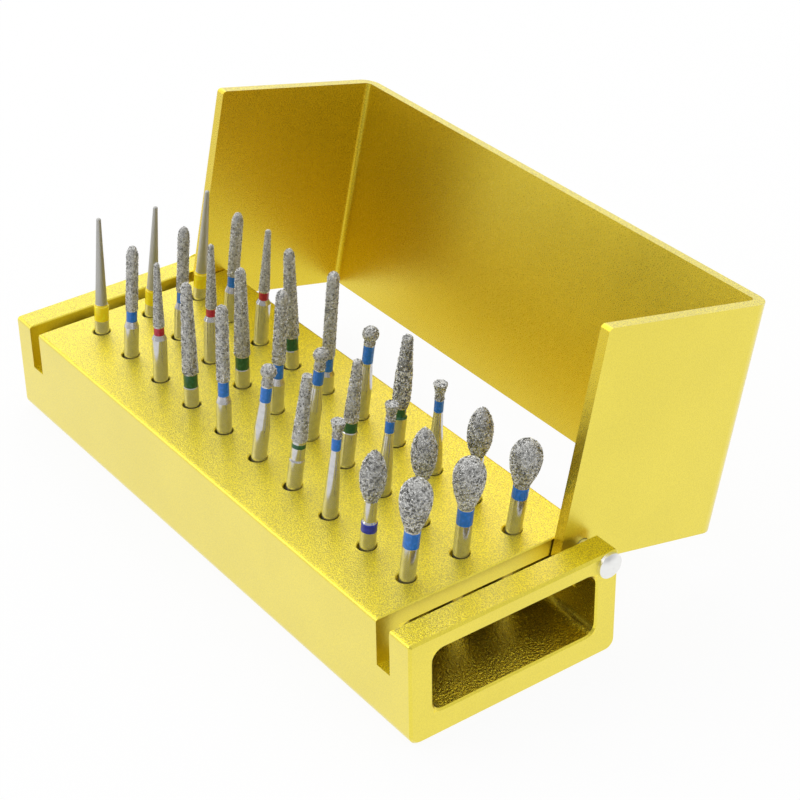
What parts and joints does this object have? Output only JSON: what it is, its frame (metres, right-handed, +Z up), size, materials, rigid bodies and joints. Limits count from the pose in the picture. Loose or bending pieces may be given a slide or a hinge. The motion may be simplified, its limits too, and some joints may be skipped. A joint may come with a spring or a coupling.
{
  "type": "dental bur block",
  "caption": "Hollow anodised block with a hinged channel lid, holding three rows of seated friction-grip diamond burs.",
  "frame": {"origin": "centre of the block's flat underside", "axes": "+X along the block, +Y towards the hinge side, +Z up; the lid stands open at rest"},
  "size_m": [0.0754, 0.0465, 0.0335],
  "materials": {
    "anodised": "gold anodised over a fine blasted surface",
    "anodised_sheet": "gold anodised sheet, satin",
    "rivet": "bright",
    "bur": "polished shank, colour band, grey diamond grit head"
  },
  "bodies": {
    "base": {"block": "anodised", "hinge_rivet_left": "rivet", "hinge_rivet_right": "rivet", "needle_bur_front": "bur", "needle_bur_middle": "bur", "needle_bur_rear": "bur", "torpedo_bur_front": "bur", "torpedo_bur_middle": "bur", "torpedo_bur_rear": "bur", "slim_taper_bur_front": "bur", "slim_taper_bur_middle": "bur", "slim_taper_bur_rear": "bur", "long_taper_bur_front": "bur", "long_taper_bur_middle": "bur", "long_taper_bur_rear": "bur", "cylinder_bur_front": "bur", "cylinder_bur_middle": "bur", "cylinder_bur_rear": "bur", "ball_bur_front": "bur", "ball_bur_middle": "bur", "ball_bur_rear": "bur", "cone_bur_front": "bur", "cone_bur_middle": "bur", "cone_bur_rear": "bur", "inverted_cone_bur_front": "bur", "inverted_cone_bur_middle": "bur", "inverted_cone_bur_rear": "bur", "bud_bur_front": "bur", "bud_bur_middle": "bur", "bud_bur_rear": "bur", "egg_bur_front": "bur", "egg_bur_middle": "bur", "egg_bur_rear": "bur"},
    "lid": {"lid": "anodised_sheet"}
  },
  "joints": [
    {"name": "lid_hinge", "type": "hinge", "parent": "base", "child": "lid", "pos_m": [0, 0.011, 0.0105], "axis": [1, 0, 0], "range_deg": [-15, 105]}
  ]
}
